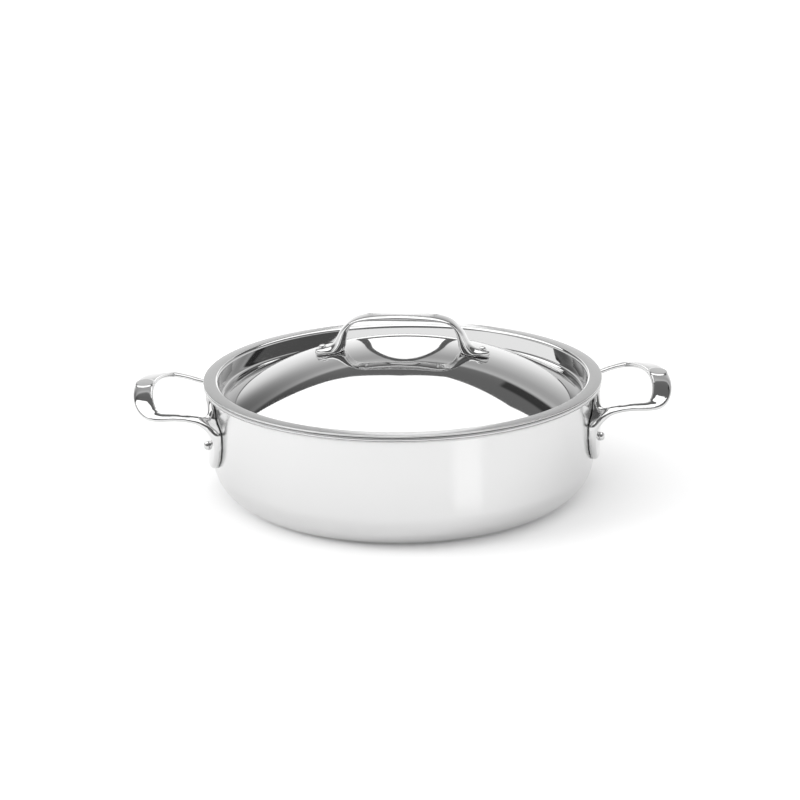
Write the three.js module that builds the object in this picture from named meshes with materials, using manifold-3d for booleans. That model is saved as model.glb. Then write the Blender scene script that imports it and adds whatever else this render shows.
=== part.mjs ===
// Two-handled saute pan with a recessed domed lid. Millimetres, +Z up.
// The origin is the centre of the base underside, and +X runs through the side handles.
import * as THREE from 'three';
import { LoftGeometry } from 'three/addons/geometries/LoftGeometry.js';
import { mergeVertices } from 'three/addons/utils/BufferGeometryUtils.js';
import Module from 'manifold-3d';

const wasm = await Module();
wasm.setup();

// Pan body: one bonded sheet of steel, aluminium and steel, drawn into a straight-sided pan
const INNER_DIAMETER = 240;
const PAN_HEIGHT = 73;
const OUTER_SKIN = 0.5;
const CORE = 1.6;
const INNER_SKIN = 0.5;
const CORNER_RADIUS = 22;
const LIP_RADIUS = 126.8;
const LIP_FLARE_RADIUS = 3;

// Side handles: a cast strap that loops out from a saddle pad on the wall. Thin arms that lean
// outwards turn into a broad level grip bar, which carries a flat oval thumb rest.
const HANDLE_REACH = 164.9;
const LOOP_CENTRE_X = 151.3;
const LOOP_HALF_WIDTH = 46;
const LOOP_START_HEIGHT = 62.4;
const LOOP_END_HEIGHT = 68.8;
const LOOP_RIDGE = 1.9;
const ARM_SPACING = 81;
const ARM = { width: 6.8, thickness: 3, lean: 12 };
const BAR = { width: 13.2, thickness: 4.4, fadeIn: 141, full: 168 };
const ROOT = { reach: 119, fade: 7, extraWidth: 4, extraThickness: 3 };
const THUMB_REST = { length: 16.4, width: 12, proud: 0.3 };
const CORNER_SOFTNESS = 0.7;

// Centre line of an arm from behind the wall face outwards: reach, swing to the side, height
const ARM_LINE = [
  [113, 0, 47.5],
  [118, 0, 52],
  [122, 0, 55],
  [127.5, 0, 57.8],
  [134, 0.4, 59.4],
  [141, 2.6, 61],
];

// Saddle pad, measured on the wall: heights above the base and angles round the pan.
// A broad tongue below narrows at the shoulder to a lobe that thins towards the lip.
const PAD = {
  bottom: 22.3,
  top: 67,
  tongueHalfAngle: 22.5,
  lobeHalfAngle: 17,
  shoulderStart: 50,
  shoulderEnd: 58,
  bottomCornerAngle: 11,
  bottomCorner: 21.7,
  topCornerAngle: 6,
  topCorner: 7,
  bottomThickness: 3.6,
  topThickness: 4.6,
  bottomRound: 4,
  topTaper: 10,
  edgeShare: 0.25,
  sunk: 1,
};
// Heights of the pad's slices: steps in from both ends, and those between
const PAD_END_STEPS = [0, 0.6, 1.8, 4, 7.5];
const PAD_MIDDLE_HEIGHTS = [34.5, 39.5, 44, 50, 52.6, 55.4];

// Handle rivets, two for each handle
const HANDLE_RIVET = {
  angle: 14,
  height: 38.3,
  shank: 1.6,
  outerHead: 2.8,
  outerHeadHeight: 3,
  innerHead: 5.5,
  innerHeadHeight: 1.8,
};

// Lid: a pressed sheet with a flat rim, a recess wall, a groove and a dome
const LID_SHEET = 1;
const LID_RADIUS = 127;
const LID_RECESS_RADIUS = 117.4;
const LID_RECESS_DEPTH = 13.6;
const LID_RIM_ROUND = 2.2;
const LID_GROOVE_ROUND = 3;
const DOME_RADIUS = 111.5;
const DOME_FOOT_DEPTH = 12;
const DOME_CROWN = 17;
const DOME_FULLNESS = 2.1;
const LID_TURN = -7.5;

// Lid handle: a cast arch with a broad grip, legs that thicken downwards and a tongue at each end
const ARCH_WIDTH = 15;
const ARCH_LEG_WIDTH = 12;
const LEG = { start: 26, full: 41 };
const FOOT = { start: 48, tip: 56, rounding: 0.985 };

// Right half of the arch, from its middle to a foot tip: reach and height above the rim of the
// places along its upper face, each with the place under it on the lower face
const ARCH_OVER = [
  [0, 38.9],
  [13, 38.4],
  [22, 37.5],
  [28.5, 36],
  [33, 33.9],
  [36.6, 30.8],
  [39.6, 27.2],
  [41.6, 23.4],
  [43.8, 19.6],
  [47, 16.9],
  [51.5, 15.6],
  [FOOT.tip, 14.4],
];
const ARCH_UNDER = [
  [0, 34.5],
  [12, 34.5],
  [20.5, 34.4],
  [26.5, 34],
  [30.4, 32.4],
  [33, 29.6],
  [34.6, 26],
  [35.6, 21.6],
  [36.4, 16.6],
  [40, 11],
  [49, 10.8],
  [FOOT.tip, 10.2],
];
const LID_RIVET = {
  reach: 50.4,
  seat: 4.7,
  shank: 1.5,
  outerHead: 2.4,
  outerHeadHeight: 1.9,
  innerHead: 3.6,
  innerHeadHeight: 1.1,
};

// Clearance between pieces that touch, and how far a drill runs past the face it goes through
const GAP = 0.3;
const DRILL_REACH = 12;

// Fineness of the curved faces
const FLATS = 48;
const HOLE_SIDES = 12;
const CORNER_STEPS = 4;
const LIP_STEPS = 3;
const DOME_STEPS = 6;
const LID_BEND_STEPS = 2;
const HEAD_STEPS = 3;
const STRAP_SIDES = 12;
const STRAP_STEPS = 34;
const LOOP_STEPS = 12;
const ARCH_STEPS = 32;
const PAD_FACE_STEPS = 12;
const PAD_BACK_STEPS = 4;
const SEAT_STEPS = 12;

// Finishes: colour and roughness
const OUTER_STEEL = [0xd9dadb, 0.3];
const CORE_ALUMINIUM = [0xbfc2c4, 0.5];
const INNER_STEEL = [0xd2d3d4, 0.35];
const CAST_STEEL = [0xe4e5e6, 0.08];
const LID_STEEL = [0xe2e3e4, 0.06];
const RIVET_STEEL = [0xdcddde, 0.15];

const SHEET = OUTER_SKIN + CORE + INNER_SKIN;
const WALL_RADIUS = INNER_DIAMETER / 2 + SHEET;
const LID_TOP = PAN_HEIGHT + GAP + LID_SHEET;
const INNER_FLAT = (INNER_DIAMETER / 2) * Math.cos(Math.PI / FLATS);
const AXIS_Y = new THREE.Vector3(0, 1, 0);
const AXIS_Z = new THREE.Vector3(0, 0, 1);
const radians = THREE.MathUtils.degToRad;

// Turns a closed three.js geometry into a solid with its faces pointing out
function solid(geometry) {
  const bare = new THREE.BufferGeometry();
  bare.setAttribute('position', geometry.attributes.position);
  bare.setIndex(geometry.index);
  const merged = mergeVertices(bare, 1e-4);
  const corners = [];
  const index = merged.index.array;
  for (let i = 0; i < index.length; i += 3) {
    const [a, b, c] = [index[i], index[i + 1], index[i + 2]];
    if (a !== b && b !== c && c !== a) corners.push(a, b, c);
  }
  const vertProperties = new Float32Array(merged.attributes.position.array);
  const make = (list) => new wasm.Manifold(
    new wasm.Mesh({ numProp: 3, vertProperties, triVerts: new Uint32Array(list) }),
  );
  const made = make(corners);
  if (made.volume() > 0) return made;
  const flipped = [];
  for (let i = 0; i < corners.length; i += 3) {
    flipped.push(corners[i], corners[i + 2], corners[i + 1]);
  }
  return make(flipped);
}

// Turns a solid back into a geometry that a mesh can carry
function geometryOf(body) {
  const mesh = body.getMesh();
  const geometry = new THREE.BufferGeometry();
  geometry.setAttribute('position', new THREE.BufferAttribute(mesh.vertProperties, 3));
  geometry.setIndex(new THREE.BufferAttribute(mesh.triVerts, 1));
  geometry.computeVertexNormals();
  return geometry;
}

function piece(name, body, [color, roughness]) {
  const material = new THREE.MeshStandardMaterial({ color, roughness, metalness: 1 });
  const mesh = new THREE.Mesh(geometryOf(body), material);
  mesh.name = name;
  return mesh;
}

// Revolves a profile of [radius, height] points round +Z
function revolve(profile, flats) {
  const points = profile.map(([radius, height]) => new THREE.Vector2(radius, height));
  const geometry = new THREE.LatheGeometry(points, flats);
  geometry.rotateX(Math.PI / 2);
  return solid(geometry);
}

// Points of an arc in a profile, both ends included
function arc(centre, radius, fromDegrees, toDegrees, steps) {
  const points = [];
  for (let i = 0; i <= steps; i += 1) {
    const angle = radians(fromDegrees + ((toDegrees - fromDegrees) * i) / steps);
    points.push([centre[0] + radius * Math.cos(angle), centre[1] + radius * Math.sin(angle)]);
  }
  return points;
}

// Line through the sheet at a depth below its outer face, from the base centre to the lip edge
function sheetLine(depth) {
  const flareCentre = [
    WALL_RADIUS + LIP_FLARE_RADIUS,
    PAN_HEIGHT - SHEET - LIP_FLARE_RADIUS,
  ];
  const flareRadius = LIP_FLARE_RADIUS + depth;
  const cornerCentre = [WALL_RADIUS - CORNER_RADIUS, CORNER_RADIUS];
  return [
    [0, depth],
    ...arc(cornerCentre, CORNER_RADIUS - depth, -90, 0, CORNER_STEPS),
    ...arc(flareCentre, flareRadius, 180, 90, LIP_STEPS),
    [LIP_RADIUS, flareCentre[1] + flareRadius],
  ];
}

// Frame whose +Y axis points out through the wall at an angle from +X or -X
function wallFrame(side, degrees, height) {
  const angle = radians(degrees);
  const out = new THREE.Vector3(side * Math.cos(angle), Math.sin(angle), 0);
  const turn = new THREE.Quaternion().setFromUnitVectors(AXIS_Y, out);
  return new THREE.Matrix4().makeRotationFromQuaternion(turn).setPosition(0, 0, height);
}

// Round hole along +Y of a frame, through a face at a distance from its origin
function bore(frame, radius, face) {
  const geometry = new THREE.CylinderGeometry(radius, radius, 2 * DRILL_REACH, HOLE_SIDES);
  geometry.translate(0, face, 0);
  geometry.applyMatrix4(frame);
  return solid(geometry);
}

const SIDES = [
  { name: 'right', side: 1 },
  { name: 'left', side: -1 },
];
const ENDS = [
  { name: 'front', sign: -1 },
  { name: 'rear', sign: 1 },
];

function handleRivetFrames() {
  return SIDES.flatMap(({ name, side }) => ENDS.map(({ name: end, sign }) => ({
    name: `${name}_handle_rivet_${end}`,
    frame: wallFrame(side, sign * HANDLE_RIVET.angle, HANDLE_RIVET.height),
  })));
}

// One layer of the bonded sheet, drilled for the handle rivets
function panLayer(fromDepth, toDepth) {
  const profile = [...sheetLine(fromDepth), ...sheetLine(toDepth).reverse()];
  let layer = revolve(profile, FLATS);
  for (const { frame } of handleRivetFrames()) {
    const hole = bore(frame, HANDLE_RIVET.shank + GAP, WALL_RADIUS);
    layer = layer.subtract(hole);
  }
  return layer;
}

// Height of a quarter circle of a size, at a lack of reach from its full end
function quarter(lack, size) {
  return Math.sqrt(Math.max(0, 1 - (lack / size) ** 2));
}

// Thickness of the saddle pad on its centre line at a height
function padThickness(height) {
  const share = (height - PAD.bottom) / (PAD.top - PAD.bottom);
  const full = PAD.bottomThickness + (PAD.topThickness - PAD.bottomThickness) * share;
  const low = Math.max(0, PAD.bottom + PAD.bottomRound - height);
  const high = Math.max(0, height - (PAD.top - PAD.topTaper));
  const grown = quarter(low, PAD.bottomRound) * quarter(high, PAD.topTaper);
  return full * (PAD.edgeShare + (1 - PAD.edgeShare) * grown);
}

// Half angle that the saddle pad covers at a height, with rounded corners at both ends
function padHalfAngle(height) {
  const intoLobe = THREE.MathUtils.smoothstep(height, PAD.shoulderStart, PAD.shoulderEnd);
  const half = THREE.MathUtils.lerp(PAD.tongueHalfAngle, PAD.lobeHalfAngle, intoLobe);
  const low = Math.max(0, PAD.bottom + PAD.bottomCorner - height);
  const high = Math.max(0, height - (PAD.top - PAD.topCorner));
  const lostLow = PAD.bottomCornerAngle * (1 - quarter(low, PAD.bottomCorner));
  const lostHigh = PAD.topCornerAngle * (1 - quarter(high, PAD.topCorner));
  return half - lostLow - lostHigh;
}

// Level slice of the pad: an arc behind the wall face and a soft-edged arc in front
function padSlice(height) {
  const half = radians(padHalfAngle(height));
  const thickness = padThickness(height);
  const behind = WALL_RADIUS - PAD.sunk;
  const face = WALL_RADIUS + GAP;
  const at = (radius, angle) => new THREE.Vector3(
    radius * Math.cos(angle),
    radius * Math.sin(angle),
    height,
  );
  const points = [];
  for (let i = 0; i <= PAD_BACK_STEPS; i += 1) {
    points.push(at(behind, half * (1 - (2 * i) / PAD_BACK_STEPS)));
  }
  for (let i = 0; i <= PAD_FACE_STEPS; i += 1) {
    const turn = Math.PI * (1 - i / PAD_FACE_STEPS);
    const across = Math.sign(Math.cos(turn)) * Math.sqrt(Math.abs(Math.cos(turn)));
    const proud = Math.sqrt(Math.sin(turn));
    points.push(at(face + thickness * proud, half * across));
  }
  return points;
}

function saddlePad() {
  const heights = [
    ...PAD_END_STEPS.map((step) => PAD.bottom + step),
    ...PAD_MIDDLE_HEIGHTS,
    ...PAD_END_STEPS.map((step) => PAD.top - step).reverse(),
  ];
  const slices = heights.map(padSlice);
  return solid(new LoftGeometry(slices, { capStart: true, capEnd: true }));
}

// Centre line of the looped strap, from the front root round to the rear root
function strapPath() {
  const arm = ARM_LINE.map(([reach, swing, height]) => (
    new THREE.Vector3(reach, ARM_SPACING / 2 + swing, height)
  ));
  const loop = [];
  for (let i = 0; i <= LOOP_STEPS; i += 1) {
    const angle = (Math.PI / 2) * (1 - (2 * i) / LOOP_STEPS);
    const drop = Math.abs(Math.sin(angle)) ** LOOP_RIDGE;
    loop.push(new THREE.Vector3(
      LOOP_CENTRE_X + (HANDLE_REACH - LOOP_CENTRE_X) * Math.cos(angle),
      LOOP_HALF_WIDTH * Math.sin(angle),
      THREE.MathUtils.lerp(LOOP_END_HEIGHT, LOOP_START_HEIGHT, drop),
    ));
  }
  const mirrored = arm.map((point) => new THREE.Vector3(point.x, -point.y, point.z));
  return new THREE.CatmullRomCurve3([...arm, ...loop, ...mirrored.reverse()], false, 'centripetal');
}

// Soft-cornered section of a strap, as wide and as thick as its two axes say
function softSection(centre, across, up, width, thickness) {
  const soften = (value) => Math.sign(value) * Math.abs(value) ** CORNER_SOFTNESS;
  const full = soften(Math.cos(Math.PI / STRAP_SIDES));
  const points = [];
  for (let i = 0; i < STRAP_SIDES; i += 1) {
    const angle = (2 * Math.PI * (i + 0.5)) / STRAP_SIDES;
    points.push(centre.clone()
      .addScaledVector(across, ((width / 2) * soften(Math.cos(angle))) / full)
      .addScaledVector(up, ((thickness / 2) * soften(Math.sin(angle))) / full));
  }
  return points;
}

function loopStrap() {
  const path = strapPath();
  const sections = [];
  for (let i = 0; i <= STRAP_STEPS; i += 1) {
    const centre = path.getPointAt(i / STRAP_STEPS);
    const tangent = path.getTangentAt(i / STRAP_STEPS);
    const intoBar = THREE.MathUtils.smoothstep(centre.x, BAR.fadeIn, BAR.full);
    const fromRoot = Math.max(0, centre.x - ROOT.reach);
    const swell = Math.exp(-((fromRoot / ROOT.fade) ** 2));
    const width = THREE.MathUtils.lerp(ARM.width, BAR.width, intoBar) + ROOT.extraWidth * swell;
    const thickness = THREE.MathUtils.lerp(ARM.thickness, BAR.thickness, intoBar)
      + ROOT.extraThickness * swell;
    const lean = radians(ARM.lean) * (1 - intoBar);
    const up = AXIS_Z.clone().addScaledVector(tangent, -tangent.z).normalize();
    up.applyAxisAngle(tangent, -lean);
    const across = new THREE.Vector3().crossVectors(up, tangent);
    sections.push(softSection(centre, across, up, width, thickness));
  }
  return solid(new LoftGeometry(sections, { capStart: true, capEnd: true }));
}

// Flat oval rest that stands on the middle of the grip bar
function thumbRest() {
  const oval = new THREE.Shape();
  oval.absellipse(0, 0, THUMB_REST.width / 2, THUMB_REST.length / 2, 0, 2 * Math.PI);
  const geometry = new THREE.ExtrudeGeometry(oval, {
    depth: BAR.thickness / 2 + THUMB_REST.proud,
    bevelEnabled: false,
    curveSegments: HOLE_SIDES,
  });
  geometry.translate(HANDLE_REACH, 0, LOOP_END_HEIGHT);
  return solid(geometry);
}

// Whole side handle on +X: pad and strap in one casting, shaped to the wall and drilled
function sideHandle() {
  const wall = revolve(
    [[0, 0], [WALL_RADIUS + GAP, 0], [WALL_RADIUS + GAP, PAN_HEIGHT], [0, PAN_HEIGHT]],
    FLATS,
  );
  let casting = saddlePad().add(loopStrap()).add(thumbRest()).subtract(wall);
  for (const { sign } of ENDS) {
    const frame = wallFrame(1, sign * HANDLE_RIVET.angle, HANDLE_RIVET.height);
    const hole = bore(frame, HANDLE_RIVET.shank + GAP, WALL_RADIUS);
    casting = casting.subtract(hole);
  }
  return casting;
}

// Rivet along +Y: a low inner head, a shank and a domed outer head
function rivet(sizes, innerSeat, outerSeat) {
  const head = (radius, height, seat) => arc([0, 0], 1, 0, 90, HEAD_STEPS)
    .map(([across, along]) => [radius * across, seat + height * along]);
  const profile = [
    ...head(sizes.innerHead, -sizes.innerHeadHeight, innerSeat).reverse(),
    [sizes.shank, innerSeat],
    [sizes.shank, outerSeat],
    ...head(sizes.outerHead, sizes.outerHeadHeight, outerSeat),
  ];
  const points = profile.map(([radius, along]) => new THREE.Vector2(Math.max(0, radius), along));
  return solid(new THREE.LatheGeometry(points, HOLE_SIDES));
}

// Height of the lid's dome above the base at a radius
function domeHeight(radius) {
  const rise = DOME_CROWN + DOME_FOOT_DEPTH;
  return LID_TOP + DOME_CROWN - rise * (radius / DOME_RADIUS) ** DOME_FULLNESS;
}

// Face of the lid sheet, from the crown out to the rim; depth 0 is the top face
function lidLine(depth) {
  const dome = [];
  for (let i = 0; i <= DOME_STEPS; i += 1) {
    const radius = DOME_RADIUS * Math.sqrt(i / DOME_STEPS);
    dome.push([radius, domeHeight(radius) - depth]);
  }
  const grooveCentre = [
    LID_RECESS_RADIUS - LID_GROOVE_ROUND,
    LID_TOP - LID_RECESS_DEPTH + LID_GROOVE_ROUND,
  ];
  const rimCentre = [LID_RECESS_RADIUS + LID_RIM_ROUND, LID_TOP - LID_RIM_ROUND];
  return [
    ...dome,
    ...arc(grooveCentre, LID_GROOVE_ROUND + depth, -90, 0, LID_BEND_STEPS),
    ...arc(rimCentre, LID_RIM_ROUND - depth, 180, 90, LID_BEND_STEPS),
    [LID_RADIUS, LID_TOP - depth],
  ];
}

// Frame whose +Y axis stands square on the dome under a foot of the lid handle
function domeFrame(sign) {
  const slopeStep = 0.5;
  const fall = domeHeight(LID_RIVET.reach - slopeStep) - domeHeight(LID_RIVET.reach + slopeStep);
  const out = new THREE.Vector3(sign * fall, 0, 2 * slopeStep).normalize();
  const turn = new THREE.Quaternion().setFromUnitVectors(AXIS_Y, out);
  const place = new THREE.Matrix4().makeRotationFromQuaternion(turn);
  return place.setPosition(sign * LID_RIVET.reach, 0, domeHeight(LID_RIVET.reach));
}

function lidShell() {
  let shell = revolve([...lidLine(0), ...lidLine(LID_SHEET).reverse()], FLATS);
  for (const sign of [1, -1]) {
    shell = shell.subtract(bore(domeFrame(sign), LID_RIVET.shank + GAP, 0));
  }
  return shell;
}

// Line along a face of the arch, from the left foot tip to the right one
function archLine(half) {
  const right = half.map(([reach, height]) => new THREE.Vector3(reach, 0, LID_TOP + height));
  const left = right.slice(1).map((point) => new THREE.Vector3(-point.x, 0, point.z));
  return new THREE.CatmullRomCurve3([...left.reverse(), ...right], false, 'centripetal');
}

function lidArch() {
  const upper = archLine(ARCH_OVER);
  const lower = archLine(ARCH_UNDER);
  const sections = [];
  for (let i = 0; i <= ARCH_STEPS; i += 1) {
    const over = upper.getPoint(i / ARCH_STEPS);
    const under = lower.getPoint(i / ARCH_STEPS);
    const reach = Math.abs(over.x);
    const intoLeg = THREE.MathUtils.smoothstep(reach, LEG.start, LEG.full);
    const intoTip = Math.max(0, (reach - FOOT.start) / (FOOT.tip - FOOT.start));
    const round = quarter(FOOT.rounding * intoTip, 1);
    const width = THREE.MathUtils.lerp(ARCH_WIDTH, ARCH_LEG_WIDTH, intoLeg) * round;
    const centre = over.clone().lerp(under, 0.5);
    const up = over.clone().sub(under).normalize();
    sections.push(softSection(centre, AXIS_Y, up, width, over.distanceTo(under)));
  }
  return solid(new LoftGeometry(sections, { capStart: true, capEnd: true }));
}

// Arch with its feet shaped to the dome and drilled
function lidHandle() {
  const seat = [];
  for (let i = 0; i <= SEAT_STEPS; i += 1) {
    const radius = DOME_RADIUS * (i / SEAT_STEPS);
    seat.push([radius, domeHeight(radius) + GAP]);
  }
  const under = LID_TOP - LID_RECESS_DEPTH;
  const dome = revolve([...seat, [DOME_RADIUS, under], [0, under]], FLATS);
  let arch = lidArch().subtract(dome);
  for (const sign of [1, -1]) {
    arch = arch.subtract(bore(domeFrame(sign), LID_RIVET.shank + GAP, 0));
  }
  return arch;
}

const pan = new THREE.Group();
pan.add(piece('outer_skin', panLayer(0, OUTER_SKIN), OUTER_STEEL));
pan.add(piece('aluminium_core', panLayer(OUTER_SKIN, OUTER_SKIN + CORE), CORE_ALUMINIUM));
pan.add(piece('inner_skin', panLayer(OUTER_SKIN + CORE, SHEET), INNER_STEEL));

const casting = sideHandle();
for (const { name, side } of SIDES) {
  const handle = piece(`${name}_handle`, casting, CAST_STEEL);
  handle.rotation.z = side > 0 ? 0 : Math.PI;
  pan.add(handle);
}

const rivetSeat = WALL_RADIUS + GAP + padThickness(HANDLE_RIVET.height) + GAP;
const handleRivet = rivet(HANDLE_RIVET, INNER_FLAT - GAP, rivetSeat);
for (const { name, frame } of handleRivetFrames()) {
  const fastener = piece(name, handleRivet, RIVET_STEEL);
  fastener.applyMatrix4(frame);
  pan.add(fastener);
}

const lid = new THREE.Group();
lid.rotation.z = radians(LID_TURN);
lid.add(piece('lid_shell', lidShell(), LID_STEEL));
lid.add(piece('lid_handle', lidHandle(), CAST_STEEL));
const lidRivet = rivet(LID_RIVET, -LID_SHEET - GAP, LID_RIVET.seat);
for (const { name, side } of SIDES) {
  const fastener = piece(`lid_rivet_${name}`, lidRivet, RIVET_STEEL);
  fastener.applyMatrix4(domeFrame(side));
  lid.add(fastener);
}

const model = new THREE.Group();
model.add(pan, lid);

export default model;
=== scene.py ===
# %% [markdown]
# # A two-handled saute pan
#
# The real pan is drawn from one bonded sheet: steel, aluminium, steel. Two cast loops are
# riveted to its wall, and a pressed lid with a cast arch sits in its mouth. Everything is
# bright metal in a white studio, so this lesson is mostly about true curves and about what
# those curves mirror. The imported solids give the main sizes, and each piece below stands
# where its solid stands.

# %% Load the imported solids
import math

import bpy
import numpy as np
from mathutils import Matrix, Vector


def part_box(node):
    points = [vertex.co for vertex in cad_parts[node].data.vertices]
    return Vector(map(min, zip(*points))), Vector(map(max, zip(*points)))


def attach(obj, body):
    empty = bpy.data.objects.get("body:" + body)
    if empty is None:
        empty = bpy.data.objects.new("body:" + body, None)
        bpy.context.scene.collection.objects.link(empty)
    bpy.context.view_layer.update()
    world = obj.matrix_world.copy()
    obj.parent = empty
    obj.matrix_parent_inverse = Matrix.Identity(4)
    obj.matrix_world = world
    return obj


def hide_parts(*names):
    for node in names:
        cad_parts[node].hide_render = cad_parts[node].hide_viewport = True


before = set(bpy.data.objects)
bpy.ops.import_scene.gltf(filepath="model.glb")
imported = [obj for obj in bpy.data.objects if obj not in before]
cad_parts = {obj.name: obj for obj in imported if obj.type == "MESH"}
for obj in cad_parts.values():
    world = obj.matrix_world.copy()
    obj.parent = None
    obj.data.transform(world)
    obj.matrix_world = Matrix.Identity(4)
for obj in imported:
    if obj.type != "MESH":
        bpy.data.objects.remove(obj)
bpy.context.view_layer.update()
MM = 0.001
print("solids:", len(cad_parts))

# %% [markdown]
# ## The camera
#
# The photograph looks down at the pan by about seventeen degrees with a long lens. The
# angle, distance and lens came from fitting ellipses to the rim and the base. Blender's
# track-to tools would do, but building the matrix from three axes keeps the slight roll of
# the original, and the lens shift keeps the pan where it stood in the frame.

# %% Camera
LOOK_AT_HEIGHT = 74.3 * MM
CAMERA_DISTANCE = 1016 * MM
CAMERA_ELEVATION = math.radians(16.63)
CAMERA_TURN = math.radians(1.68)
CAMERA_ROLL = math.radians(0.816)
LENS_MM = 71.31
SENSOR_MM = 36
SHIFT = (-0.0031, -0.035)


def photo_camera():
    """Camera at the photograph's viewing angle."""
    forward = Vector((0, math.cos(CAMERA_ELEVATION), -math.sin(CAMERA_ELEVATION)))
    level = Vector((1, 0, 0))
    upright = level.cross(forward)
    right = level * math.cos(CAMERA_ROLL) - upright * math.sin(CAMERA_ROLL)
    up = level * math.sin(CAMERA_ROLL) + upright * math.cos(CAMERA_ROLL)
    axes = Matrix((right, up, -forward)).transposed().to_4x4()
    stand = Matrix.Translation(Vector((0, 0, LOOK_AT_HEIGHT)) - forward * CAMERA_DISTANCE)
    data = bpy.data.cameras.new("photo_camera")
    data.lens = LENS_MM
    data.sensor_width = SENSOR_MM
    data.shift_x, data.shift_y = SHIFT
    camera = bpy.data.objects.new("photo_camera", data)
    bpy.context.scene.collection.objects.link(camera)
    camera.matrix_world = Matrix.Rotation(-CAMERA_TURN, 4, "Z") @ stand @ axes
    bpy.context.scene.camera = camera
    return camera


print("camera at", [round(v, 3) for v in photo_camera().matrix_world.translation])

# %% [markdown]
# ## Small helpers for node trees
#
# Geometry nodes and shader nodes are wired in the same way, so a few short helpers serve
# both.

# %% Node helpers
FLOAT = "NodeSocketFloat"


def feed(tree, socket, value):
    """Links a socket to another node's output, or sets its constant."""
    if isinstance(value, bpy.types.NodeSocket):
        tree.links.new(value, socket)
    else:
        socket.default_value = value


def place(tree, kind, feeds=None, **settings):
    """Adds a node, sets its options and feeds its sockets."""
    node = tree.nodes.new(kind)
    for name, value in settings.items():
        setattr(node, name, value)
    for label, value in (feeds or {}).items():
        feed(tree, node.inputs[label], value)
    return node


def reckon(tree, operation, *values):
    """A Math node on constants or sockets."""
    node = place(tree, "ShaderNodeMath", operation=operation)
    for socket, value in zip(node.inputs, values):
        feed(tree, socket, value)
    return node.outputs[0]


def fade(tree, value, start, end, first=1.0, last=0.0):
    """A Map Range that goes smoothly from first, at start, to last, at end."""
    node = place(tree, "ShaderNodeMapRange", {
        "Value": value, "From Min": start, "From Max": end, "To Min": first, "To Max": last,
    }, interpolation_type="SMOOTHSTEP")
    return node.outputs[0]


def new_group(name, kind, inputs, outputs):
    """A node group with named sockets: {name: (socket type, start value)}."""
    tree = bpy.data.node_groups.new(name, kind)
    for label, (socket_type, start) in inputs.items():
        socket = tree.interface.new_socket(label, in_out="INPUT", socket_type=socket_type)
        if start is not None:
            socket.default_value = start
    for label, socket_type in outputs.items():
        tree.interface.new_socket(label, in_out="OUTPUT", socket_type=socket_type)
    return tree, place(tree, "NodeGroupInput"), place(tree, "NodeGroupOutput")


print("helpers ready")

# %% [markdown]
# ## Finish: spun grain
#
# The drawn sheet is polished while it turns, so its marks run round the axis. The group
# works out the angle, the radius and the height of a point from Object coordinates and
# stretches a noise along the angle. It puts out a fine grain and a broad cloud, and each
# sheet material uses them with its own values. The radius comes out too, for a finish that
# changes towards the rim.

# %% Spun grain group
GRAIN_RING = 1.5
GRAIN_DETAIL = 3.0
CLOUD_DETAIL = 2.0


def spun_grain_group():
    """Marks that run round the pan's axis."""
    tree, entry, leave = new_group(
        "Spun grain",
        "ShaderNodeTree",
        {"Lines": (FLOAT, 4000.0), "Cloud size": (FLOAT, 30.0)},
        {"Grain": FLOAT, "Cloud": FLOAT, "Radius": FLOAT},
    )
    spot = place(tree, "ShaderNodeTexCoord").outputs["Object"]
    split = place(tree, "ShaderNodeSeparateXYZ", {0: spot})
    x, y, z = split.outputs
    angle = reckon(tree, "ARCTAN2", y, x)
    squares = reckon(tree, "ADD", reckon(tree, "MULTIPLY", x, x), reckon(tree, "MULTIPLY", y, y))
    radius = reckon(tree, "SQRT", squares)
    along = reckon(tree, "MULTIPLY", reckon(tree, "SINE", angle), GRAIN_RING)
    other = reckon(tree, "MULTIPLY", reckon(tree, "COSINE", angle), GRAIN_RING)
    across = reckon(tree, "MULTIPLY", reckon(tree, "ADD", radius, z), entry.outputs["Lines"])
    lines = place(tree, "ShaderNodeCombineXYZ")
    for socket, value in zip(lines.inputs, (along, other, across)):
        feed(tree, socket, value)
    grain = place(tree, "ShaderNodeTexNoise", {
        "Vector": lines.outputs[0], "Scale": 1.0, "Detail": GRAIN_DETAIL,
    })
    cloud = place(tree, "ShaderNodeTexNoise", {
        "Vector": spot, "Scale": entry.outputs["Cloud size"], "Detail": CLOUD_DETAIL,
    })
    feed(tree, leave.inputs["Grain"], grain.outputs[0])
    feed(tree, leave.inputs["Cloud"], cloud.outputs[0])
    feed(tree, leave.inputs["Radius"], radius)
    return tree


SPUN_GRAIN = spun_grain_group()
print("group:", SPUN_GRAIN.name)

# %% [markdown]
# ## Finish: hand polish
#
# The castings are polished on a soft wheel. The wheel leaves a faint slow swell in the
# mirror and a few hair-thin scuffs that cross each other. Two stretched noises at
# different turns make the scuffs, and a large soft noise makes the swell. The height comes
# out too, for wear on top of a grip.

# %% Hand polish group
SCUFF_TURNS = (0.4, 1.9)
SCUFF_LEAN = 0.3
SCUFF_STRETCH = (1.0, 0.06, 1.0)
SWELL_DETAIL = 1.0


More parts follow.
